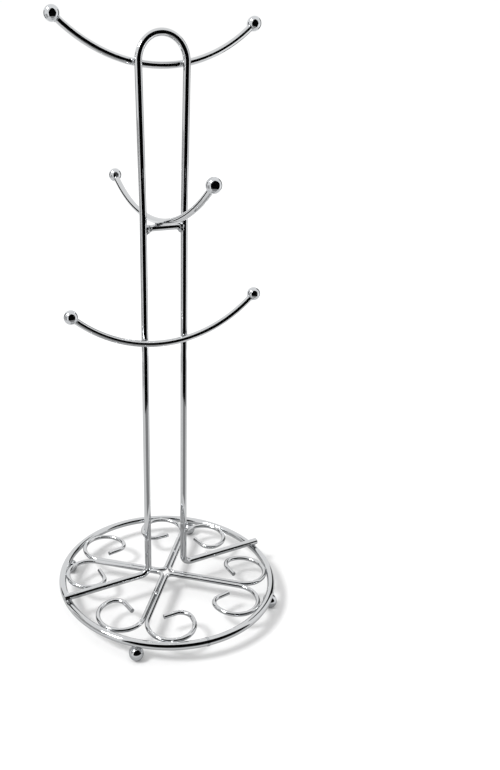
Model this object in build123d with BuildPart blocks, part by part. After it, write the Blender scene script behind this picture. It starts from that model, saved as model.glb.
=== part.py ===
from build123d import *
import math
import os

# Mug tree made of welded, chrome-plated steel wire. All sizes are in millimetres.
# The origin lies on the table under the centre of the base ring. The two foot bars
# run along X, the middle arm runs along Y, and Z is up.

os.makedirs("parts", exist_ok=True)

# --- Wire stock and balls ---------------------------------------------------------
ring_wire = 5.0
leg_wire = 4.6
arm_wire = 4.2
scroll_wire = 3.0
ball_diameter = 9.0
foot_diameter = 9.5

# --- Fits and welds ---------------------------------------------------------------
set_down = 0.1          # resistance welding sinks one crossing wire this far into the other
pair_gap = 0.06         # air between the two wires of a spoke, away from their spot weld
socket_depth = 2.5      # how deep an arm's end sits in its ball
neck_gap = 0.35         # height of the weld neck between a foot and the ring, at its centre
neck_diameter = 3.4
bar_bead = 1.0          # the cross bar's weld collars stand out this far beyond the bar
crossing_bead = 4.4     # diameter of the bead where an arm or a foot bar crosses a wire
scroll_bead = 3.2       # diameter of the bead where a scroll touches the ring, or its neighbour
cut_chamfer = 0.4       # tumbled edge on the cut ends of the wires

# --- Base -------------------------------------------------------------------------
ring_radius = 75.0      # to the centre of the wire
base_turn = 3.0         # the scrolls and feet are welded this many degrees round from the foot bars
seam_angle = -97.0      # where the ring's two ends are butt-welded
seam_length = 1.6
seam_height = 0.25
scroll_seat = 15.0      # angle up the inside of the ring at which the curls are welded to it
centre_bend = 4.6       # bend radius of a scroll wire at the centre of the base
curl_clearance = 6.2    # air between a curl and a foot bar that runs down the middle of its quarter
curl_turn = 225.0
hook_radius = 7.5
hook_turn = 86.0
tail_length = 9.0
spoke_weld_reach = 26.0

# --- Upright ----------------------------------------------------------------------
leg_half_spacing = 14.3
loop_radius = 16.0
loop_top = 375.4        # height of the hairpin's highest point, at the centre of the wire
foot_bend = 6.0
cross_bar_height = 263.3
kink_rise = 8.0         # the legs start to spread this far above the cross bar
kink_bend = 100.0       # and do so round a very soft kink
bar_overhang = 0.5      # the foot bars end this far outside the ring

# --- Arms -------------------------------------------------------------------------
arm_curve = 98.0
arm_reach = 65.5        # from the middle of an arm to the centre of its ball, measured level
top_arm_drop = 17.6     # the top arm's lowest point is this far below the top of the loop
bottom_arm_height = 189.3
middle_arm_shift = -4.0

# --- Heights and places that follow from the sizes above --------------------------
ring_height = foot_diameter + neck_gap + ring_wire / 2
foot_bar_height = ring_height + (ring_wire + leg_wire) / 2 - set_down
foot_bar_end = ring_radius + ring_wire / 2 + bar_overhang
scroll_contact = (ring_wire + scroll_wire) / 2 - set_down
scroll_height = ring_height + scroll_contact * math.sin(math.radians(scroll_seat))
scroll_reach = ring_radius - scroll_contact * math.cos(math.radians(scroll_seat))
arm_offset = (leg_wire + arm_wire) / 2 - set_down
top_arm_height = loop_top - top_arm_drop
middle_arm_height = cross_bar_height + arm_wire - set_down
sector_angles = {
    "right": base_turn,
    "back": base_turn + 90,
    "left": base_turn + 180,
    "front": base_turn + 270,
}

# Each wire is kept here as it is before its weld seats are cut. The weld beads need it whole.
bare_wires = {}

# --- Base ring --------------------------------------------------------------------
with BuildPart() as base_ring:
    with BuildSketch(Plane.XZ):
        with Locations((ring_radius, ring_height)):
            Circle(ring_wire / 2)
    revolve(axis=Axis.Z)
base_ring.part.label = "base_ring"
export_step(base_ring.part, "parts/base_ring.step")

# The butt weld that closes the ring is a low collar round the wire.
seam_arc = math.degrees(seam_length / ring_radius)
with BuildPart() as ring_seam:
    with BuildSketch(Plane.XZ.rotated((0, 0, seam_angle - seam_arc / 2))):
        with Locations((ring_radius, ring_height)):
            Circle(ring_wire / 2 + seam_height)
            Circle(ring_wire / 2, mode=Mode.SUBTRACT)
    revolve(axis=Axis.Z, revolution_arc=seam_arc)
ring_seam.part.label = "ring_seam"
export_step(ring_seam.part, "parts/ring_seam.step")

# --- Scroll wires -----------------------------------------------------------------
# Each wire lies in one quarter of the base and is the same on both sides of that
# quarter's middle line. Half of it, from the bend near the centre: out along a spoke at
# 45 degrees, round the curl that touches the ring, round a tighter hook, and a straight tail.
spoke_offset = (scroll_wire + pair_gap) / 2

# A curl is the circle that fits between its spoke, the ring, and the clearance to the foot bar.
middle_gap = (leg_wire + scroll_wire) / 2 + curl_clearance
slant = 1 + math.sqrt(2)
shift = spoke_offset + middle_gap * math.sqrt(2)
half_linear = slant * shift + scroll_reach + spoke_offset
constant = shift**2 + spoke_offset**2 - scroll_reach**2
curl_radius = (math.sqrt(half_linear**2 - slant**2 * constant) - half_linear) / slant**2

curl_offset = spoke_offset + curl_radius
curl_distance = scroll_reach - curl_radius
spoke_run = math.sqrt(curl_distance**2 - curl_offset**2) - spoke_offset - centre_bend
bend_apex = spoke_offset * math.sqrt(2) + centre_bend * (math.sqrt(2) - 1)
for side, angle in sector_angles.items():
    with BuildPart() as scroll:
        with BuildLine(Plane.XY.offset(scroll_height).rotated((0, 0, angle))) as route:
            bend = JernArc((bend_apex, 0), (0, 1), centre_bend, -45)
            spoke = PolarLine(bend @ 1, spoke_run, direction=bend % 1)
            curl = JernArc(spoke @ 1, spoke % 1, curl_radius, -curl_turn)
            hook = JernArc(curl @ 1, curl % 1, hook_radius, -hook_turn)
            tail = PolarLine(hook @ 1, tail_length, direction=hook % 1)
            mirror(about=Plane.XZ.rotated((0, 0, angle)))
        with BuildSketch(Plane(origin=tail @ 1, z_dir=-(tail % 1))):
            Circle(scroll_wire / 2)
        sweep(path=route.wire())
        cut_ends = scroll.faces().filter_by(GeomType.PLANE)
        chamfer(cut_ends.edges(), cut_chamfer)
        bare_wires[side] = scroll.part
        add(base_ring.part, mode=Mode.SUBTRACT)
    scroll.part.label = f"scroll_wire_{side}"
    export_step(scroll.part, f"parts/scroll_wire_{side}.step")

# --- Upright frame ----------------------------------------------------------------
# One wire bent to a hairpin. The legs stand parallel to just above the cross bar, then spread
# a little to meet the round loop. At the bottom each leg turns outwards into a foot bar.
loop_height = loop_top - loop_radius
kink_height = cross_bar_height + kink_rise
kink_distance = math.hypot(leg_half_spacing, loop_height - kink_height)
kink_direction = math.degrees(math.atan2(kink_height - loop_height, leg_half_spacing))
loop_end = kink_direction + math.degrees(math.acos(loop_radius / kink_distance))
with BuildPart() as upright_frame:
    with BuildLine(Plane.XZ) as route:
        loop = CenterArc((0, loop_height), loop_radius, 90, loop_end - 90)
        FilletPolyline(
            loop @ 1,
            (leg_half_spacing, kink_height),
            (leg_half_spacing, foot_bar_height),
            (foot_bar_end, foot_bar_height),
            radius=(kink_bend, foot_bend),
        )
        mirror(about=Plane.YZ)
    with BuildSketch(Plane.YZ.offset(foot_bar_end)):
        with Locations((0, foot_bar_height)):
            Circle(leg_wire / 2)
    sweep(path=route.wire())
    cut_ends = upright_frame.faces().filter_by(GeomType.PLANE)
    chamfer(cut_ends.edges(), cut_chamfer)
    add(base_ring.part, mode=Mode.SUBTRACT)
upright_frame.part.label = "upright_frame"
export_step(upright_frame.part, "parts/upright_frame.step")

# --- Cross bar, coped onto both legs ------------------------------------------------
with BuildPart() as cross_bar:
    with BuildSketch(Plane.YZ):
        with Locations((0, cross_bar_height)):
            Circle(arm_wire / 2)
    extrude(amount=leg_half_spacing, both=True)
    bare_wires["cross_bar"] = cross_bar.part
    add(upright_frame.part, mode=Mode.SUBTRACT)
cross_bar.part.label = "cross_bar"
export_step(cross_bar.part, "parts/cross_bar.step")

# --- Arms and their balls -----------------------------------------------------------
# The three arms are the same upward arc. The top one is welded behind the legs, the bottom
# one in front of them, and the middle one lies on the cross bar and runs between them.
# Each ball is turned 45 degrees, so that its surface's seam keeps clear of the arm's socket.
ball_angle = math.degrees(math.asin(arm_reach / arm_curve))
wire_angle = ball_angle - math.degrees((ball_diameter / 2 - socket_depth) / arm_curve)
ball_rise = arm_curve * (1 - math.cos(math.radians(ball_angle)))
arm_places = {
    "top": (Plane.XZ.offset(-arm_offset), top_arm_height, upright_frame, ("left", "right")),
    "middle": (Plane.YZ.offset(middle_arm_shift), middle_arm_height, cross_bar, ("front", "back")),
    "bottom": (Plane.XZ.offset(arm_offset), bottom_arm_height, upright_frame, ("left", "right")),
}
for name, (plane, height, seat, ends) in arm_places.items():
    with BuildPart() as arm:
        with BuildLine(plane) as route:
            CenterArc((0, height + arm_curve), arm_curve, -90 - wire_angle, 2 * wire_angle)
        with BuildSketch(Plane(origin=route.edge() @ 0, z_dir=route.edge() % 0)):
            Circle(arm_wire / 2)
        sweep()
        bare_wires[name] = arm.part
        add(seat.part, mode=Mode.SUBTRACT)
    arm.part.label = f"{name}_arm"
    export_step(arm.part, f"parts/{name}_arm.step")
    for end, direction in zip(ends, (-1, 1)):
        centre = plane.from_local_coords((direction * arm_reach, height + ball_rise, 0))
        with BuildPart() as ball:
            with Locations(Location(centre, (0, 0, 45))):
                Sphere(ball_diameter / 2)
            add(arm.part, mode=Mode.SUBTRACT)
        ball.part.label = f"{name}_ball_{end}"
        export_step(ball.part, f"parts/{name}_ball_{end}.step")

# --- Ball feet, one under the ring at the end of each spoke -------------------------
foot_places = PolarLocations(ring_radius, 4, start_angle=base_turn + 45).locations
foot_sides = ("back_right", "back_left", "front_left", "front_right")
feet = []
for side, place in zip(foot_sides, foot_places):
    with BuildPart() as foot:
        with Locations(place.position + (0, 0, foot_diameter / 2)):
            Sphere(foot_diameter / 2)
    foot.part.label = f"ball_foot_{side}"
    export_step(foot.part, f"parts/ball_foot_{side}.step")
    feet.append(foot)

# Each foot hangs from the ring by a short neck of weld metal.
with BuildPart() as foot_welds:
    with BuildSketch(Plane.XY.offset(foot_diameter / 2)):
        with Locations(foot_places):
            Circle(neck_diameter / 2)
    extrude(amount=ring_height - foot_diameter / 2)
    for foot in feet:
        add(foot.part, mode=Mode.SUBTRACT)
    add(base_ring.part, mode=Mode.SUBTRACT)
foot_welds.part.label = "foot_welds"
export_step(foot_welds.part, "parts/foot_welds.step")


# --- Weld beads ---------------------------------------------------------------------
# A bead is a drop of weld metal round the point where two wires meet, less the wires themselves.
def weld_beads(name, points, diameter, wires):
    with BuildPart() as beads:
        with Locations(*points):
            Sphere(diameter / 2)
        for wire in wires:
            add(wire, mode=Mode.SUBTRACT)
    beads.part.label = name
    export_step(beads.part, f"parts/{name}.step")


# Where the top arm crosses them, the legs have spread to this distance from the middle.
spread = loop_radius * math.cos(math.radians(loop_end)) - leg_half_spacing
spread_end = loop_height + loop_radius * math.sin(math.radians(loop_end))
spread_share = min(1, (top_arm_height - kink_height) / (spread_end - kink_height))
top_leg_reach = leg_half_spacing + spread * spread_share

leg_face = leg_half_spacing - leg_wire / 2
bar_ends = [(-leg_face, 0, cross_bar_height), (leg_face, 0, cross_bar_height)]
bar_wires = (upright_frame.part, bare_wires["cross_bar"])
weld_beads("cross_bar_welds", bar_ends, arm_wire + 2 * bar_bead, bar_wires)

arm_touch = (leg_wire - set_down) / 2
for name, reach, height, y in (
    ("top", top_leg_reach, top_arm_height, arm_touch),
    ("bottom", leg_half_spacing, bottom_arm_height, -arm_touch),
):
    rise = arm_curve - math.sqrt(arm_curve**2 - reach**2)
    crossings = [(x, y, height + rise) for x in (-reach, reach)]
    arm_wires = (bare_wires[name], upright_frame.part)
    weld_beads(f"{name}_arm_welds", crossings, crossing_bead, arm_wires)

saddle = [(middle_arm_shift, 0, cross_bar_height + (arm_wire - set_down) / 2)]
saddle_wires = (bare_wires["middle"], bare_wires["cross_bar"])
weld_beads("middle_arm_weld", saddle, crossing_bead, saddle_wires)

ring_top = ring_height + (ring_wire - set_down) / 2
bar_crossings = [(-ring_radius, 0, ring_top), (ring_radius, 0, ring_top)]
weld_beads("foot_bar_welds", bar_crossings, crossing_bead, (base_ring.part, upright_frame.part))

# The two wires of each spoke are spot-welded side by side. The metal lies above and below the
# line where they touch, and none of it fills the crack between them.
with BuildPart() as crack:
    with Locations((0, 0, scroll_height)):
        Box(2 * ring_radius, 2 * ring_radius, scroll_bead / 2)
spoke_places = PolarLocations(spoke_weld_reach, 4, start_angle=base_turn + 45).locations
spoke_points = [place.position + (0, 0, scroll_height) for place in spoke_places]
scroll_wires = [bare_wires[side] for side in sector_angles]
weld_beads("spoke_welds", spoke_points, scroll_bead, [*scroll_wires, crack.part])

# A curl touches the ring on the line from the base's centre through the curl's own centre.
curl_angle = 45 - math.degrees(math.asin(curl_offset / curl_distance))
touch_depth = (ring_wire - set_down) / 2
touch_radius = ring_radius - touch_depth * math.cos(math.radians(scroll_seat))
touch_height = ring_height + touch_depth * math.sin(math.radians(scroll_seat))
touch_points = []
for angle in sector_angles.values():
    for turn in (angle - curl_angle, angle + curl_angle):
        touch_points.append(Vector(touch_radius, 0, touch_height).rotate(Axis.Z, turn))
weld_beads("scroll_welds", touch_points, scroll_bead, [base_ring.part, *scroll_wires])
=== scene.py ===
# %% [markdown]
# # A chrome wire mug tree
# This lesson builds the looks of a welded wire mug tree round a CAD model that is already
# exact. The tree is made the way a wire shop makes one: straight lengths of drawn steel wire
# are bent to a route, welded where they cross, capped with steel balls, and plated with bright
# chrome. So the lesson bends routes, sweeps wire along them, and adds balls and weld beads.
# The CAD model gives every place and every thickness. Blender adds smooth surfaces, the weld
# beads' lumps, the finishes, and a small studio that puts black and white stripes in the chrome.

# %% Load the CAD frame
import math

import bpy
from mathutils import Matrix, Vector


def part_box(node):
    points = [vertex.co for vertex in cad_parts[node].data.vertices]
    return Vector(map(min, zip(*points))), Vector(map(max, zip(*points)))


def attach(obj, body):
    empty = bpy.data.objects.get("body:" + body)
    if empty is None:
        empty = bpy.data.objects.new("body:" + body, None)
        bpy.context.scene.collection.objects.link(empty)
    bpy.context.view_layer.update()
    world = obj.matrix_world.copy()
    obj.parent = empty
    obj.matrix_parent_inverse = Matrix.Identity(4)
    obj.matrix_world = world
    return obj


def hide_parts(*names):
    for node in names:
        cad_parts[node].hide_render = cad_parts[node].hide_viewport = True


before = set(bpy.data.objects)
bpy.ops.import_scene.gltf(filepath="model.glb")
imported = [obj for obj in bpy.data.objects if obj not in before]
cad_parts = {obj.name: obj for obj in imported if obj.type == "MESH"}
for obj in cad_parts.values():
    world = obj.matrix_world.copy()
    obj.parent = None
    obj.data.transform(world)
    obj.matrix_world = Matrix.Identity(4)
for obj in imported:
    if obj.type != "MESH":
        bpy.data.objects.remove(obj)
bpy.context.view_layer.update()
MM = 0.001

# %% [markdown]
# ## Sizes
# Nothing is measured twice. The thickness of each wire is the thickness of its CAD part's box,
# and the heights come from the same boxes. Only what a box can't tell, such as a bend's
# radius, is written here as a number, in millimetres as a wire bender would note it.


# %% Read the sizes from the CAD parts
def middle(node):
    low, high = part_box(node)
    return (low + high) / 2


def thickness(node, axis):
    low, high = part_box(node)
    return high[axis] - low[axis]


X, Y, Z = 0, 1, 2
ring_wire = thickness("base_ring", Z)
ring_height = middle("base_ring").z
ring_radius = (thickness("base_ring", X) - ring_wire) / 2
leg_wire = thickness("upright_frame", Y)
loop_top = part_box("upright_frame")[1].z - leg_wire / 2
foot_bar_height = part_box("upright_frame")[0].z + leg_wire / 2
foot_bar_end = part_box("upright_frame")[1].x
arm_wire = thickness("top_arm", Y)
scroll_wire = thickness("scroll_wire_front", Z)
scroll_height = middle("scroll_wire_front").z
cross_bar_height = middle("cross_bar").z
print("wires in mm:", [round(w / MM, 2) for w in (ring_wire, leg_wire, arm_wire, scroll_wire)])

# %% [markdown]
# ## The camera
# The tree stands to the left of a tall frame. The camera's height is between the middle arm
# and the top one. It is turned 24 degrees to the tree's left and tipped down.
# The frame is then shifted sideways, which keeps the tree's perspective while it moves the
# tree off the middle.

# %% Place the camera
camera_place = Vector((-198.65, -386.29, 319.14)) * MM
camera_yaw = math.radians(-24.292)
camera_pitch = math.radians(16.858)
camera_roll = math.radians(-1.202)

back = Vector((
    math.sin(camera_yaw) * math.cos(camera_pitch),
    -math.cos(camera_yaw) * math.cos(camera_pitch),
    math.sin(camera_pitch),
))
level = Vector((math.cos(camera_yaw), math.sin(camera_yaw), 0))
upward = back.cross(level)
right = level * math.cos(camera_roll) + upward * math.sin(camera_roll)
up = upward * math.cos(camera_roll) - level * math.sin(camera_roll)

camera_data = bpy.data.cameras.new("camera")
camera_data.lens = 32.32
camera_data.shift_x = 0.1547
camera_data.shift_y = -0.0534
camera_data.clip_start = 0.01
camera = bpy.data.objects.new("camera", camera_data)
bpy.context.scene.collection.objects.link(camera)
camera.matrix_world = Matrix((right, up, back)).transposed().to_4x4()
camera.location = camera_place
bpy.context.scene.camera = camera
bpy.context.scene.view_settings.view_transform = "Standard"
print("camera is", round(camera_place.length, 3), "m from the middle of the base")

# %% [markdown]
# ## Helpers for nodes
# Materials and Geometry Nodes are both trees of nodes. One function adds a node, sets it up
# and links it, so each finish below reads as a list of what it is made of. A second turns a
# paint chart's hex colour into the linear numbers that the renderer adds up.


# %% Add nodes and colours
def add_node(tree, kind, inputs=None, **settings):
    node = tree.nodes.new(kind)
    for name, value in settings.items():
        setattr(node, name, value)
    for socket, value in (inputs or {}).items():
        if isinstance(value, bpy.types.NodeSocket):
            tree.links.new(value, node.inputs[socket])
        else:
            node.inputs[socket].default_value = value
    return node


def linear(hex_colour):
    channels = [int(hex_colour[i:i + 2], 16) / 255 for i in (1, 3, 5)]
    return (*[c / 12.92 if c <= 0.04045 else ((c + 0.055) / 1.055) ** 2.4 for c in channels], 1)


# %% [markdown]
# ## Bright chrome on drawn wire
# The wire is mild steel pulled through a die, polished, and plated with bright nickel and a
# film of chromium. Chromium is a slightly blue metal that returns a little over half of the
# light, so its colour is a light cool grey and everything else is reflection. The die leaves
# faint lines along the wire, and the plating bath a very low ripple. Both follow the wire
# round its bends, so they are drawn in the wire's own coordinates: across, across, and
# along. The Geometry Nodes tree further down stores those as an attribute.


# %% Chrome for the wires
def chrome(name, place, scale, low_hex, high_hex, rough, ripple_height):
    """Bright chrome. place makes the socket that gives the pattern's place, in metres."""
    material = bpy.data.materials.new(name)
    material.use_nodes = True
    tree = material.node_tree
    tree.nodes.clear()
    where = add_node(tree, "ShaderNodeMapping", {"Vector": place(tree), "Scale": scale})
    haze = add_node(tree, "ShaderNodeTexNoise", {"Vector": where.outputs[0], "Scale": 1, "Detail": 3})
    colour = add_node(tree, "ShaderNodeMix", {
        "Factor": haze.outputs[0], 6: linear(low_hex), 7: linear(high_hex),
    }, data_type="RGBA")
    roughness = add_node(tree, "ShaderNodeMapRange", {
        "Value": haze.outputs[0], "From Min": 0.3, "From Max": 0.7,
        "To Min": rough[0], "To Max": rough[1],
    })
    ripple = add_node(tree, "ShaderNodeBump", {
        "Height": haze.outputs[0], "Distance": ripple_height, "Strength": 1,
    })
    shader = add_node(tree, "ShaderNodeBsdfPrincipled", {
        "Base Color": colour.outputs[2], "Metallic": 1,
        "Roughness": roughness.outputs[0], "Normal": ripple.outputs[0],
    })
    add_node(tree, "ShaderNodeOutputMaterial", {"Surface": shader.outputs[0]})
    return material


def along_wire(tree):
    return add_node(tree, "ShaderNodeAttribute", attribute_name="wire_place").outputs["Vector"]


def in_object(tree):
    return add_node(tree, "ShaderNodeTexCoord").outputs["Object"]


die_line = 0.6 * MM          # finer on real wire: drawn this wide so that it shows
ripple_length = 14 * MM
chrome_wire = chrome(
    "bright_chrome_on_drawn_wire", along_wire,
    (1 / die_line, 1 / die_line, 1 / ripple_length),
    "#C6C8CA", "#D3D4D5", (0.035, 0.07), 0.0008 * MM,
)
print("finish:", chrome_wire.name)

# %% [markdown]
# ## The other finishes
# The balls are ground round and polished before plating, so they are smoother than the wire
# and carry only the plating's own orange peel. A weld bead is lumpy metal that nobody
# polished, and a wire's cut end keeps the tracks of the shears. Both are plated like the
# rest, but look greyer because they scatter the light.

# %% Chrome for balls, welds and cut ends
orange_peel = 1.6 * MM
weld_lump = 0.7 * MM
shear_track = 0.35 * MM
chrome_ball = chrome(
    "bright_chrome_on_ground_ball", in_object, (1 / orange_peel,) * 3,
    "#C8CACD", "#D4D6D8", (0.025, 0.05), 0.0012 * MM,
)
plated_weld = chrome(
    "chrome_over_weld_bead", in_object, (1 / weld_lump,) * 3,
    "#A9ABAD", "#C9CBCD", (0.10, 0.22), 0.03 * MM,
)
plated_cut = chrome(
    "chrome_over_sheared_end", in_object, (1 / shear_track, 1 / shear_track, 0.2 / shear_track),
    "#9C9EA0", "#BCBEC0", (0.16, 0.30), 0.03 * MM,
)
print("finishes:", chrome_ball.name, plated_weld.name, plated_cut.name)

# %% [markdown]
# ## A tree that turns a route into wire
# Every wire here is the same idea: a round section that follows a bent route. So one
# Geometry Nodes tree makes them all. It turns the route into a curve, narrows it over the
# last bit before a cut end, sweeps a circle along it and closes the ends. It stores the
# straightened wire's coordinates for the chrome, and can repeat the wire round the middle of
# the base. A cut end is the only face with more than four corners, which is how the tree
# finds it to give it the sheared finish.


# %% Build the wire tree
def new_tree(name, inputs):
    """A Geometry Nodes tree with named inputs, and its Group Input and Group Output."""
    tree = bpy.data.node_groups.new(name, "GeometryNodeTree")
    tree.interface.new_socket("Geometry", in_out="INPUT", socket_type="NodeSocketGeometry")
    for label, kind, default in inputs:
        socket = tree.interface.new_socket(label, in_out="INPUT", socket_type="NodeSocket" + kind)
        if default is not None:
            socket.default_value = default
    tree.interface.new_socket("Geometry", in_out="OUTPUT", socket_type="NodeSocketGeometry")
    start = add_node(tree, "NodeGroupInput")
    return tree, start.outputs


def maths(tree, operation, first, second):
    return add_node(tree, "ShaderNodeMath", {0: first, 1: second}, operation=operation).outputs[0]


wire_tree, given = new_tree("wire_along_route", [
    ("Wire Diameter", "Float", 0.004), ("Sides", "Int", 40), ("End Chamfer", "Float", 0.0),
    ("Copies", "Int", 1), ("First Turn", "Float", 0.0),
    ("Finish", "Material", None), ("Cut End Finish", "Material", None),
])
route = add_node(wire_tree, "GeometryNodeMeshToCurve", {"Mesh": given["Geometry"]})
parameter = add_node(wire_tree, "GeometryNodeSplineParameter")
whole = add_node(wire_tree, "GeometryNodeSplineLength")
wire_radius = maths(wire_tree, "MULTIPLY", given["Wire Diameter"], 0.5)
from_end = maths(wire_tree, "SUBTRACT", whole.outputs["Length"], parameter.outputs["Length"])
nearest = maths(wire_tree, "MINIMUM", parameter.outputs["Length"], from_end)
cut = maths(wire_tree, "SUBTRACT", given["End Chamfer"], nearest)
cut_share = maths(wire_tree, "DIVIDE", maths(wire_tree, "MAXIMUM", cut, 0), wire_radius)
slimmed = add_node(wire_tree, "GeometryNodeSetCurveRadius", {
    "Curve": route.outputs[0], "Radius": maths(wire_tree, "SUBTRACT", 1, cut_share),
})
measured = add_node(wire_tree, "GeometryNodeCaptureAttribute", {"Geometry": slimmed.outputs[0]})
measured.capture_items.new("FLOAT", "Along")
wire_tree.links.new(parameter.outputs["Length"], measured.inputs["Along"])
section = add_node(wire_tree, "GeometryNodeCurvePrimitiveCircle", {
    "Resolution": given["Sides"], "Radius": wire_radius,
})
across = add_node(wire_tree, "GeometryNodeCaptureAttribute", {"Geometry": section.outputs[0]})
across.capture_items.new("VECTOR", "Across")
position = add_node(wire_tree, "GeometryNodeInputPosition")
wire_tree.links.new(position.outputs[0], across.inputs["Across"])
swept = add_node(wire_tree, "GeometryNodeCurveToMesh", {
    "Curve": measured.outputs[0], "Profile Curve": across.outputs[0], "Fill Caps": True,
})
split = add_node(wire_tree, "ShaderNodeSeparateXYZ", {0: across.outputs["Across"]})
straightened = add_node(wire_tree, "ShaderNodeCombineXYZ", {
    0: split.outputs[0], 1: split.outputs[1], 2: measured.outputs["Along"],
})
placed = add_node(wire_tree, "GeometryNodeStoreNamedAttribute", {
    "Geometry": swept.outputs[0], "Name": "wire_place", "Value": straightened.outputs[0],
}, data_type="FLOAT_VECTOR", domain="POINT")
smooth = add_node(wire_tree, "GeometryNodeSetShadeSmooth", {"Geometry": placed.outputs[0]})
print("wire tree so far:", len(wire_tree.nodes), "nodes")

# %% Repeat the wire and give it its finishes
spots = add_node(wire_tree, "GeometryNodePoints", {"Count": given["Copies"], "Position": (0, 0, 0)})
index = add_node(wire_tree, "GeometryNodeInputIndex")
step = maths(wire_tree, "DIVIDE", math.tau, given["Copies"])
turn = maths(wire_tree, "ADD", maths(wire_tree, "MULTIPLY", index.outputs[0], step), given["First Turn"])
spin = add_node(wire_tree, "ShaderNodeCombineXYZ", {2: turn})
copies = add_node(wire_tree, "GeometryNodeInstanceOnPoints", {
    "Points": spots.outputs[0], "Instance": smooth.outputs[0], "Rotation": spin.outputs[0],
})
real = add_node(wire_tree, "GeometryNodeRealizeInstances", {"Geometry": copies.outputs[0]})
finished = add_node(wire_tree, "GeometryNodeSetMaterial", {
    "Geometry": real.outputs[0], "Material": given["Finish"],
})
corners = add_node(wire_tree, "GeometryNodeInputMeshFaceNeighbors")
is_cut = add_node(wire_tree, "FunctionNodeCompare", {
    0: corners.outputs["Vertex Count"], 1: 4.5,
}, data_type="FLOAT", operation="GREATER_THAN")
capped = add_node(wire_tree, "GeometryNodeSetMaterial", {
    "Geometry": finished.outputs[0], "Selection": is_cut.outputs[0],
    "Material": given["Cut End Finish"],
})
add_node(wire_tree, "NodeGroupOutput", {"Geometry": capped.outputs[0]})
print("wire tree:", len(wire_tree.nodes), "nodes")

# %% [markdown]
# ## From a tree to a finished piece
# A tree needs an object to work on, and here that is a bare route: points joined by edges.
# The result is copied out as a plain mesh, which rides on the CAD body and stands in for the
# CAD parts it covers. Then the piece's box is compared with the boxes of those parts, so a
# wire that isn't where the CAD says shows up at once as a number.


# %% Make a piece with a tree
SHARP = math.radians(35)


def box_of(points):
    low = Vector([min(p[i] for p in points) for i in range(3)])
    high = Vector([max(p[i] for p in points) for i in range(3)])
    return low, high


def grow(name, points, tree, values, nodes, closed=False, directions=None):
    """Runs the tree on the points, joined up for a wire, and returns the finished piece."""
    start = bpy.data.meshes.new(name + "_start")
    count = len(points)
    edges = []
    if tree is wire_tree:
        edges = [(i, (i + 1) % count) for i in range(count if closed else count - 1)]
    start.from_pydata([tuple(p) for p in points], edges, [])
    if directions:
        stored = start.attributes.new("direction", "FLOAT_VECTOR", "POINT")
        stored.data.foreach_set("vector", [v for d in directions for v in d])
    source = bpy.data.objects.new(name + "_start", start)
    bpy.context.scene.collection.objects.link(source)
    modifier = source.modifiers.new(tree.name, "NODES")
    modifier.node_group = tree
    for item in tree.interface.items_tree:
        if item.in_out == "INPUT" and item.name in values:
            modifier[item.identifier] = values[item.name]
    graph = bpy.context.evaluated_depsgraph_get()
    mesh = bpy.data.meshes.new_from_object(
        source.evaluated_get(graph), preserve_all_data_layers=True, depsgraph=graph)
    bpy.data.objects.remove(source)
    mesh.name = name
    mesh.set_sharp_from_angle(angle=SHARP)
    piece = bpy.data.objects.new(name, mesh)
    bpy.context.scene.collection.objects.link(piece)
    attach(piece, "root")
    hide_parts(*nodes)
    mine = box_of([v.co for v in mesh.vertices])
    theirs = box_of([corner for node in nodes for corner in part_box(node)])
    off = max(abs(a - b) for m, t in zip(mine, theirs) for a, b in zip(m, t)) / MM
    print(f"{name}: {len(mesh.polygons)} faces, box within {off:.2f} mm of the CAD's")
    return piece


# %% [markdown]
# ## Routes, as a wire bender writes them
# A bent wire is a list of straight runs and bends. A small "walker" follows such a list and
# leaves a point every few degrees of a bend. It leaves one more point just short of each cut
# end, where the tree starts to narrow the wire.

# %% Walk a route
BEND_STEP = 3.0
cut_chamfer = 0.4 * MM


def walk(start, heading, moves, chamfered=False):
    """The points of a flat route. A move is (length,) or (radius, turn), turn in degrees to the left."""
    x, y = start
    heading = math.radians(heading)
    points = [(x, y)]
    for move in moves:
        if len(move) == 1:
            x, y = x + move[0] * math.cos(heading), y + move[0] * math.sin(heading)
            points.append((x, y))
            continue
        radius, turn = move
        side = math.copysign(radius, turn)
        centre = (x - side * math.sin(heading), y + side * math.cos(heading))
        steps = max(2, math.ceil(abs(turn) / BEND_STEP))
        for _ in range(steps):
            heading += math.radians(turn) / steps
            x, y = centre[0] + side * math.sin(heading), centre[1] - side * math.cos(heading)
            points.append((x, y))
    if chamfered:
        for end, near in ((0, 1), (-1, -2)):
            (ax, ay), (bx, by) = points[end], points[near]
            share = cut_chamfer / math.hypot(bx - ax, by - ay)
            points.insert(1 if end == 0 else -1, (ax + (bx - ax) * share, ay + (by - ay) * share))
    return points


def mirrored(half):
    """The half route, walked backwards on the other side of the first axis, then itself."""
    return [(x, -y) for x, y in reversed(half)] + half[1:]


wire_values = {"Sides": 40, "Copies": 1, "Finish": chrome_wire, "Cut End Finish": plated_cut}

# %% [markdown]
# ## The base ring
# The ring is one wire bent to a full circle and butt-welded. It could be a torus, but as a
# route it gets the same die lines as the other wires, and they begin and end at the weld as
# they really do. The weld itself is a low collar, flattened by the clamps of the welder.

# %% Base ring and its butt weld
seam_angle = math.radians(-97)
seam_length = 1.6 * MM


def on_ring(angle, height, radius=ring_radius):
    return Vector((radius * math.cos(angle), radius * math.sin(angle), height))


ring_steps = 180
ring_route = [on_ring(seam_angle + math.tau * i / ring_steps, ring_height) for i in range(ring_steps)]
grow(
    "ring_wire", ring_route, wire_tree, {**wire_values, "Wire Diameter": ring_wire, "Sides": 48},
    ["base_ring"], closed=True,
)

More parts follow.
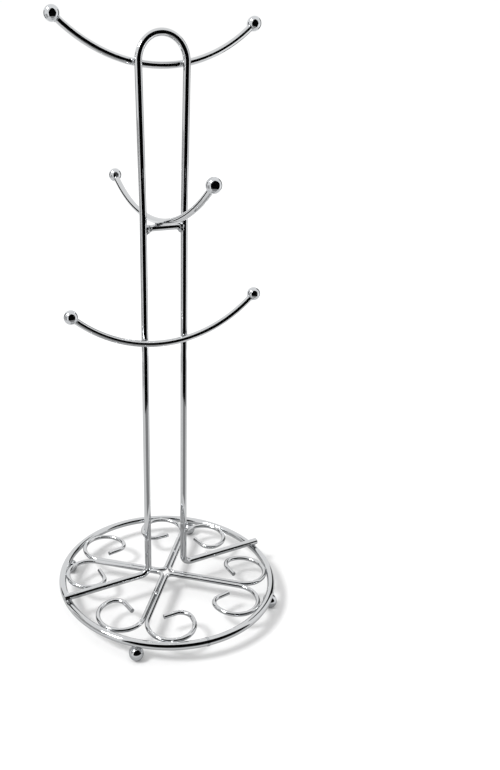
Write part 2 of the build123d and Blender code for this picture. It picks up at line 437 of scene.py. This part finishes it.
# %% [markdown]
# ## The scroll wires
# Each quarter of the base holds one wire, bent the same way on both sides of its middle:
# a tight bend at the centre, a straight spoke, a wide curl that touches the ring, a tighter
# hook and a short straight tail. Only half of one is written down. It is mirrored, and the
# tree repeats it four times. The curl is the circle that just fits between its spoke, the
# ring, and a clearance to the foot bar, so its radius is worked out, not typed in.

# %% Scroll wires
base_turn = math.radians(3)
pair_gap = 0.06 * MM
set_down = 0.1 * MM
scroll_seat = math.radians(15)
centre_bend = 4.6 * MM
curl_clearance = 6.2 * MM
hook_radius = 7.5 * MM
curl_turn, hook_turn = 225, 86
tail_length = 9 * MM

contact = (ring_wire + scroll_wire) / 2 - set_down
reach = ring_radius - contact * math.cos(scroll_seat)
spoke_offset = (scroll_wire + pair_gap) / 2
slant = 1 + math.sqrt(2)
shift = spoke_offset + ((leg_wire + scroll_wire) / 2 + curl_clearance) * math.sqrt(2)
half_linear = slant * shift + reach + spoke_offset
constant = shift**2 + spoke_offset**2 - reach**2
curl_radius = (math.sqrt(half_linear**2 - slant**2 * constant) - half_linear) / slant**2
curl_distance = reach - curl_radius
curl_offset = spoke_offset + curl_radius
spoke_run = math.sqrt(curl_distance**2 - curl_offset**2) - spoke_offset - centre_bend
bend_apex = spoke_offset * math.sqrt(2) + centre_bend * (math.sqrt(2) - 1)

half_scroll = walk((bend_apex, 0), 90, [
    (centre_bend, -45), (spoke_run,), (curl_radius, -curl_turn), (hook_radius, -hook_turn), (tail_length,),
])
flat_scroll = mirrored(half_scroll)
near_start = Vector(flat_scroll[0]).lerp(Vector(flat_scroll[1]), cut_chamfer / tail_length)
near_end = Vector(flat_scroll[-1]).lerp(Vector(flat_scroll[-2]), cut_chamfer / tail_length)
flat_scroll = [flat_scroll[0], near_start, *flat_scroll[1:-1], near_end, flat_scroll[-1]]
grow(
    "scroll_wires", [(x, y, scroll_height) for x, y in flat_scroll], wire_tree,
    {**wire_values, "Wire Diameter": scroll_wire, "End Chamfer": cut_chamfer, "Copies": 4,
     "First Turn": base_turn, "Sides": 32},
    ["scroll_wire_right", "scroll_wire_back", "scroll_wire_left", "scroll_wire_front"],
)
print("curl radius in mm:", round(curl_radius / MM, 2))

# %% [markdown]
# ## The hairpin upright and the cross bar
# The post is one long wire: round loop at the top, two legs that close in slightly on the
# way down to the cross bar and then run parallel, and a tight bend at each foot into a bar
# that lies across the ring. Again half of it is walked, from the top, and mirrored.

# %% Upright and cross bar
loop_radius = 16 * MM
leg_half_spacing = 14.3 * MM
kink_rise = 8 * MM
kink_bend = 100 * MM
foot_bend = 6 * MM

loop_height = loop_top - loop_radius
kink_height = cross_bar_height + kink_rise
kink_distance = math.hypot(leg_half_spacing, loop_height - kink_height)
kink_direction = math.atan2(kink_height - loop_height, leg_half_spacing)
loop_end = kink_direction + math.acos(loop_radius / kink_distance)
lean = -math.degrees(loop_end)
kink_cut = kink_bend * math.tan(math.radians(lean) / 2)
slope_length = math.sqrt(kink_distance**2 - loop_radius**2) - kink_cut
leg_length = kink_height - foot_bar_height - kink_cut - foot_bend
bar_length = foot_bar_end - leg_half_spacing - foot_bend
half_upright = walk((0, loop_top), 0, [
    (loop_radius, -90 - lean), (slope_length,), (kink_bend, lean), (leg_length,),
    (foot_bend, 90), (bar_length,),
])
print("the legs lean by", round(lean, 2), "degrees above the kink")
half_upright.insert(-1, (half_upright[-1][0] - cut_chamfer, half_upright[-1][1]))
upright_route = [(-x, 0, z) for x, z in reversed(half_upright)] + [(x, 0, z) for x, z in half_upright[1:]]
grow(
    "hairpin_upright", upright_route, wire_tree,
    {**wire_values, "Wire Diameter": leg_wire, "End Chamfer": cut_chamfer},
    ["upright_frame"],
)
bar_half = leg_half_spacing - leg_wire / 4
grow(
    "cross_bar_wire", [(-bar_half, 0, cross_bar_height), (bar_half, 0, cross_bar_height)],
    wire_tree, {**wire_values, "Wire Diameter": arm_wire}, ["cross_bar"],
)

# %% [markdown]
# ## The arms
# The three arms are the same arc of wire. The top one is welded behind the legs and the
# bottom one in front of them, and the middle one lies across the cross bar between the legs.
# Each arc is walked from its lowest point and mirrored, and its ends run into the balls.

# %% Arms
arm_curve = 98 * MM
socket_turn = 1.2            # degrees by which the arc stops short of each ball's middle
arm_nodes = {
    "top": ("top_ball_left", "top_ball_right"),
    "middle": ("middle_ball_front", "middle_ball_back"),
    "bottom": ("bottom_ball_left", "bottom_ball_right"),
}
for level_name, balls in arm_nodes.items():
    first, last = (middle(ball) for ball in balls)
    along = (last - first).normalized()
    half_reach = (last - first).length / 2
    lowest = (first + last) / 2
    lowest.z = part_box(f"{level_name}_arm")[0].z + arm_wire / 2
    half_turn = math.degrees(math.asin(half_reach / arm_curve)) - socket_turn
    half_arm = walk((0, 0), 0, [(arm_curve, half_turn)])
    flat_arm = [(-x, z) for x, z in reversed(half_arm)] + half_arm[1:]
    grow(
        f"{level_name}_arm_wire", [lowest + along * x + Vector((0, 0, z)) for x, z in flat_arm],
        wire_tree, {**wire_values, "Wire Diameter": arm_wire}, [f"{level_name}_arm"],
    )

# %% [markdown]
# ## Balls and feet
# Each arm ends in a steel ball that is drilled, pushed on and brazed, which leaves a small
# rounded lip of metal where the wire goes in. The four feet are the same kind of ball, welded
# under the ring. One tree makes them: a ball and its lip, placed on every point and turned to
# face its wire.

# %% Build the ball tree
ball_tree, given = new_tree("balls_on_points", [
    ("Ball Diameter", "Float", 0.009), ("Mouth Diameter", "Float", 0.004),
    ("Lip Diameter", "Float", 0.0007), ("Finish", "Material", None),
])
radius = maths(ball_tree, "MULTIPLY", given["Ball Diameter"], 0.5)
mouth = maths(ball_tree, "MULTIPLY", given["Mouth Diameter"], 0.5)
squares = maths(
    ball_tree, "SUBTRACT",
    maths(ball_tree, "POWER", radius, 2), maths(ball_tree, "POWER", mouth, 2))
mouth_height = maths(ball_tree, "SQRT", squares, 0)
sphere = add_node(ball_tree, "GeometryNodeMeshUVSphere", {"Segments": 64, "Rings": 40, "Radius": radius})
mouth_line = add_node(ball_tree, "GeometryNodeCurvePrimitiveCircle", {"Resolution": 48, "Radius": mouth})
lip_section = add_node(ball_tree, "GeometryNodeCurvePrimitiveCircle", {
    "Resolution": 12, "Radius": maths(ball_tree, "MULTIPLY", given["Lip Diameter"], 0.5),
})
lip = add_node(ball_tree, "GeometryNodeCurveToMesh", {
    "Curve": mouth_line.outputs[0], "Profile Curve": lip_section.outputs[0],
})
lifted = add_node(ball_tree, "GeometryNodeSetPosition", {
    "Geometry": lip.outputs[0],
    "Offset": add_node(ball_tree, "ShaderNodeCombineXYZ", {2: mouth_height}).outputs[0],
})
ball = add_node(ball_tree, "GeometryNodeJoinGeometry")
for part in (sphere, lifted):
    ball_tree.links.new(part.outputs[0], ball.inputs[0])
facing = add_node(ball_tree, "GeometryNodeInputNamedAttribute", {"Name": "direction"},
                  data_type="FLOAT_VECTOR")
aimed = add_node(ball_tree, "FunctionNodeAlignRotationToVector", {"Vector": facing.outputs[0]}, axis="Z")
placed = add_node(ball_tree, "GeometryNodeInstanceOnPoints", {
    "Points": given["Geometry"], "Instance": ball.outputs[0], "Rotation": aimed.outputs[0],
})
real = add_node(ball_tree, "GeometryNodeRealizeInstances", {"Geometry": placed.outputs[0]})
smooth = add_node(ball_tree, "GeometryNodeSetShadeSmooth", {"Geometry": real.outputs[0]})
finished = add_node(ball_tree, "GeometryNodeSetMaterial", {
    "Geometry": smooth.outputs[0], "Material": given["Finish"],
})
add_node(ball_tree, "NodeGroupOutput", {"Geometry": finished.outputs[0]})
print("ball tree:", len(ball_tree.nodes), "nodes")

# %% Arm balls and feet
mouth_gap = 0.2 * MM
ball_nodes = [ball for balls in arm_nodes.values() for ball in balls]
inwards = []
for balls in arm_nodes.values():
    first, last = (middle(ball) for ball in balls)
    slope = math.asin((last - first).length / 2 / arm_curve)
    for here, there in ((first, last), (last, first)):
        inwards.append((there - here).normalized() * math.cos(slope) - Vector((0, 0, math.sin(slope))))
grow(
    "arm_balls", [middle(ball) for ball in ball_nodes], ball_tree,
    {"Ball Diameter": thickness("top_ball_left", Z), "Mouth Diameter": arm_wire + mouth_gap,
     "Lip Diameter": 0.6 * MM, "Finish": chrome_ball},
    ball_nodes, directions=inwards,
)
neck_mouth = 3.2 * MM
foot_nodes = ["ball_foot_back_right", "ball_foot_back_left", "ball_foot_front_left", "ball_foot_front_right"]
grow(
    "ball_feet", [middle(foot) for foot in foot_nodes], ball_tree,
    {"Ball Diameter": thickness("ball_foot_front_left", Z), "Mouth Diameter": neck_mouth,
     "Lip Diameter": 0.5 * MM, "Finish": chrome_ball},
    foot_nodes, directions=[Vector((0, 0, 1))] * 4,
)

# %% [markdown]
# ## Weld beads
# Where two wires cross, a spot of metal has melted and set between them. Its outline is never
# even, and no two are alike. A tree puts a fine ball on each weld and pushes its skin in and
# out with a noise that depends on where the bead is, so each one gets its own lumps from
# one fixed seed.

# %% Build the bead tree
bead_tree, given = new_tree("beads_on_points", [
    ("Bead Diameter", "Float", 0.004), ("Lump Size", "Float", 0.001), ("Lump Height", "Float", 0.0003),
    ("Seed", "Float", 0.0), ("Finish", "Material", None),
])
drop = add_node(bead_tree, "GeometryNodeMeshIcoSphere", {
    "Radius": maths(bead_tree, "MULTIPLY", given["Bead Diameter"], 0.5), "Subdivisions": 5,
})
placed = add_node(bead_tree, "GeometryNodeInstanceOnPoints", {
    "Points": given["Geometry"], "Instance": drop.outputs[0],
})
real = add_node(bead_tree, "GeometryNodeRealizeInstances", {"Geometry": placed.outputs[0]})
lumps = add_node(bead_tree, "ShaderNodeTexNoise", {
    "Vector": add_node(bead_tree, "GeometryNodeInputPosition").outputs[0],
    "W": given["Seed"], "Scale": maths(bead_tree, "DIVIDE", 1, given["Lump Size"]), "Detail": 1,
}, noise_dimensions="4D")
height = maths(
    bead_tree, "MULTIPLY", maths(bead_tree, "SUBTRACT", lumps.outputs[0], 0.5), given["Lump Height"])
push = add_node(bead_tree, "ShaderNodeVectorMath", {
    0: add_node(bead_tree, "GeometryNodeInputNormal").outputs[0], "Scale": height,
}, operation="SCALE")
lumpy = add_node(bead_tree, "GeometryNodeSetPosition", {
    "Geometry": real.outputs[0], "Offset": push.outputs[0],
})
smooth = add_node(bead_tree, "GeometryNodeSetShadeSmooth", {"Geometry": lumpy.outputs[0]})
finished = add_node(bead_tree, "GeometryNodeSetMaterial", {
    "Geometry": smooth.outputs[0], "Material": given["Finish"],
})
add_node(bead_tree, "NodeGroupOutput", {"Geometry": finished.outputs[0]})
print("bead tree:", len(bead_tree.nodes), "nodes")


# %% Weld beads on the upright and the arms
def beads(name, points, diameter, node, lump=1.3 * MM, height=0.5 * MM):
    return grow(name, points, bead_tree, {
        "Bead Diameter": diameter, "Lump Size": lump, "Lump Height": height,
        "Seed": 4.0, "Finish": plated_weld,
    }, [node])


arm_bead = 4.4 * MM
arm_bead_inset = 2.2 * MM    # from the CAD weld's outer edge to the middle of its bead
leg_face = leg_half_spacing - leg_wire / 2
run_down = arm_wire / 2.4    # how far molten metal ran from the joint before it set
cross_bar_spots = [
    (side * (leg_face - inward), 0, cross_bar_height - drop)
    for side in (-1, 1) for inward, drop in ((0, 0), (-0.1 * MM, run_down), (run_down, 0.1 * MM))
]
beads("cross_bar_beads", cross_bar_spots, arm_wire + 0.4 * MM, "cross_bar_welds",
      lump=1.7 * MM, height=1.3 * MM)
for level_name, side in (("top", 1), ("bottom", -1)):
    low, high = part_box(f"{level_name}_arm_welds")
    mid = (low + high) / 2
    x = (high.x - low.x) / 2 - arm_bead_inset
    beads(f"{level_name}_arm_beads", [(-x, side * leg_wire / 2, mid.z), (x, side * leg_wire / 2, mid.z)],
          arm_bead, f"{level_name}_arm_welds")
beads("middle_arm_bead", [middle("middle_arm_weld")], arm_bead, "middle_arm_weld")

# %% Weld beads on the base
ring_top = ring_height + ring_wire / 2
beads("foot_bar_beads", [(-ring_radius, 0, ring_top), (ring_radius, 0, ring_top)],
      arm_bead, "foot_bar_welds")
quarters = [base_turn + math.radians(45 + 90 * i) for i in range(4)]
spot_reach = 26 * MM
scroll_bead = 3.2 * MM
neck_bead = 3.6 * MM
beads("spoke_beads", [on_ring(angle, scroll_height, spot_reach) for angle in quarters], scroll_bead,
      "spoke_welds", height=0.3 * MM)
beads("foot_necks", [on_ring(angle, middle("foot_welds").z) for angle in quarters], neck_bead,
      "foot_welds", height=0.3 * MM)
curl_angle = math.radians(45) - math.asin(curl_offset / curl_distance)
touch_depth = ring_wire / 2
touches = [
    on_ring(base_turn + math.radians(90 * i) + side * curl_angle,
            ring_height + touch_depth * math.sin(scroll_seat),
            ring_radius - touch_depth * math.cos(scroll_seat))
    for i in range(4) for side in (-1, 1)
]
beads("scroll_beads", touches, scroll_bead, "scroll_welds", height=0.3 * MM)
seam_half = seam_length / 2
seam_slope = 0.25 * MM
seam_route = [on_ring(seam_angle + s * seam_half / ring_radius, ring_height) for s in (-1, -0.4, 0, 0.4, 1)]
grow(
    "ring_seam_collar", seam_route, wire_tree,
    {**wire_values, "Wire Diameter": thickness("ring_seam", Z), "End Chamfer": seam_slope,
     "Finish": plated_weld, "Cut End Finish": plated_weld, "Sides": 48},
    ["ring_seam"],
)

# %% [markdown]
# ## The studio
# Chrome has almost no look of its own: it shows the room. A bright tent all round would turn
# it to plain white paint, so a photographer hangs black cards, called flags, where the metal
# should go dark. A large dark one stands behind the camera and draws the black line down the
# middle of every wire. Two narrow ones, right and left back, give the sides lines of their
# own. A grey card on the left tones down that side. Grey sheets just over the floor tone down
# the white below: they are painted shade, darkening the floor's reflection round and in front of
# the tree, and the smallest is a painted contact shadow under it. All of them are seen by the
# chrome and not by the camera. The light comes from a far softbox on the left, which gives the
# highlights and the soft shadows on the floor.


# %% Floor, flags and lights
def stage_material(name, hex_colour):
    material = bpy.data.materials.new(name)
    material.use_nodes = True
    shader = material.node_tree.nodes["Principled BSDF"]
    shader.inputs["Base Color"].default_value = linear(hex_colour)
    shader.inputs["Roughness"].default_value = 0.9
    shader.inputs["Specular IOR Level"].default_value = 0.0
    return material


def stage_object(name, vertices, faces, material):
    mesh = bpy.data.meshes.new(name)
    mesh.from_pydata(vertices, [], faces)
    mesh.materials.append(material)
    made = bpy.data.objects.new(name, mesh)
    bpy.context.scene.collection.objects.link(made)
    return made


def only_in_chrome(made):
    made.visible_camera = False
    made.visible_diffuse = False
    made.visible_shadow = False
    return made


floor_half = 6.0
stage_object(
    "floor", [(-floor_half, -floor_half, 0), (floor_half, -floor_half, 0), (floor_half, floor_half, 0),
              (-floor_half, floor_half, 0)], [(0, 1, 2, 3)], stage_material("pale_paper", "#E3E3E3"),
)


def card(name, azimuths, low_edge, high_edge, hex_colour, crown=0.0):
    """A curved card between two arcs round the tree, each a (radius, height). Azimuth 0 is in front
    and 90 on the right. crown lifts the middle of the high edge."""
    steps = 32
    vertices = []
    for i in range(steps + 1):
        azimuth = math.radians(azimuths[0] + (azimuths[1] - azimuths[0]) * i / steps)
        lift = crown * math.sin(math.pi * i / steps)
        for (distance, height), extra in ((low_edge, 0), (high_edge, lift)):
            vertices.append((distance * math.sin(azimuth), -distance * math.cos(azimuth), height + extra))
    faces = [(2 * i, 2 * i + 2, 2 * i + 3, 2 * i + 1) for i in range(steps)]
    return only_in_chrome(stage_object(name, vertices, faces, stage_material(name + "_paint", hex_colour)))


card("flag_round_camera", (-64, 48), (0.36, 0), (0.36, 0.40), "#070707", crown=0.60)
card("flag_right", (92, 116), (0.60, 0), (0.60, 0.75), "#101010")
card("flag_left_back", (-150, -130), (0.60, 0), (0.60, 0.60), "#1C1C1C")
card("grey_card_left", (-120, -80), (0.45, 0), (0.45, 0.33), "#B0B0B0")
# painted shade: the three grey sheets just over the floor are seen only in the chrome. They darken the
# floor's reflection round and in front of the tree, and the smallest is a painted contact shadow under it
card("painted_floor_shade_in_front", (-52, 38), (0.12, 0.0007), (0.36, 0.0007), "#7C7C7C")
card("painted_floor_shade_round_tree", (0, 360), (0.09, 0.0005), (0.55, 0.0005), "#C6C6C6")
card("painted_contact_shadow_under_tree", (0, 360), (0, 0.0003), (0.10, 0.0003), "#B0B0B0")

tent_strength = 1.02
softbox_width = math.radians(16)
softbox_strength = 2.1

world = bpy.data.worlds.new("tent")
world.use_nodes = True
tent = world.node_tree.nodes["Background"]
tent.inputs["Color"].default_value = (1, 1, 1, 1)
tent.inputs["Strength"].default_value = tent_strength
bpy.context.scene.world = world

softbox_data = bpy.data.lights.new("far_softbox", "SUN")
softbox_data.angle = softbox_width
softbox_data.energy = softbox_strength
softbox = bpy.data.objects.new("far_softbox", softbox_data)
bpy.context.scene.collection.objects.link(softbox)
light_travel = Vector((0.65, -0.04, -0.76))
softbox.rotation_euler = light_travel.to_track_quat("-Z", "Y").to_euler()
print("studio: floor, 3 flags, 4 grey cards, tent and softbox")
